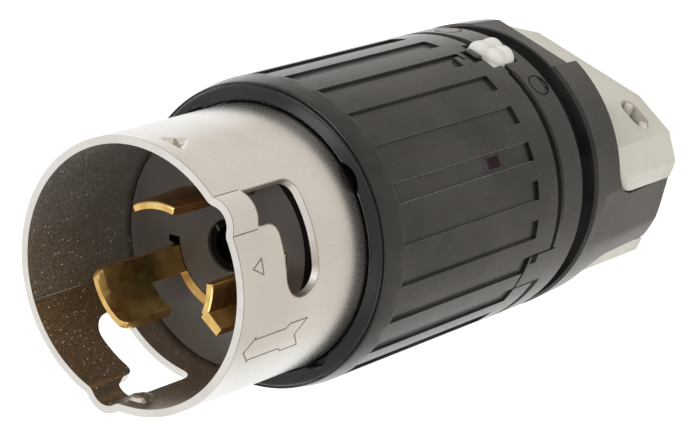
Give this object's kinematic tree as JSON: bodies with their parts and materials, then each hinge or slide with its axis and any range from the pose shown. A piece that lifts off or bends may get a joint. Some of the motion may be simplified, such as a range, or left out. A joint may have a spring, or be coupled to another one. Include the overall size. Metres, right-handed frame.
{
  "type": "locking power plug",
  "caption": "Round locking power plug with a slotted metal shroud, curved brass blades, a ribbed black body and a jawed cord clamp.",
  "frame": {"origin": "on the plug's axis at the rear face of the housing, where the cord enters", "axes": "+Z along the axis from the cord end to the mating end, +Y toward the release latch and the upper clamp jaw, +X along the clamp jaws"},
  "size_m": [0.0658, 0.0667, 0.158],
  "materials": {
    "nickel": "satin",
    "nylon": "satin",
    "phenolic": "matte",
    "brass": "satin",
    "ivory": "satin",
    "zinc": "satin"
  },
  "bodies": {
    "plug": {"shell": "nickel", "face_ring": "nylon", "front_body": "nylon", "contact_base": "phenolic", "blade_large": "brass", "blade_plain": "brass", "blade_keyed": "brass", "terminal_large": "brass", "terminal_plain": "brass", "terminal_keyed": "brass", "terminal_ground": "brass", "wire_screw_large": "zinc", "wire_screw_plain": "zinc", "wire_screw_keyed": "zinc", "wire_screw_ground": "zinc", "ground_strap": "brass", "rear_housing": "nylon", "housing_screw_left": "zinc", "housing_screw_right": "zinc"},
    "latch_body": {"latch": "ivory"},
    "upper_clamp": {"upper_jaw": "ivory", "clamp_screw_left": "zinc", "clamp_screw_right": "zinc"},
    "lower_clamp": {"lower_jaw": "ivory", "clamp_nut_left": "zinc", "clamp_nut_right": "zinc"}
  },
  "joints": [
    {"name": "latch_press", "type": "slide", "parent": "plug", "child": "latch_body", "axis": [0, -1, 0], "range_m": [0, 0.0015], "stiffness_N_per_m": 400, "springref_m": -0.0015},
    {"name": "upper_jaw_slide", "type": "slide", "parent": "plug", "child": "upper_clamp", "axis": [0, 1, 0], "range_m": [0, 0.003]},
    {"name": "lower_jaw_slide", "type": "slide", "parent": "plug", "child": "lower_clamp", "axis": [0, -1, 0], "range_m": [0, 0.003]}
  ]
}
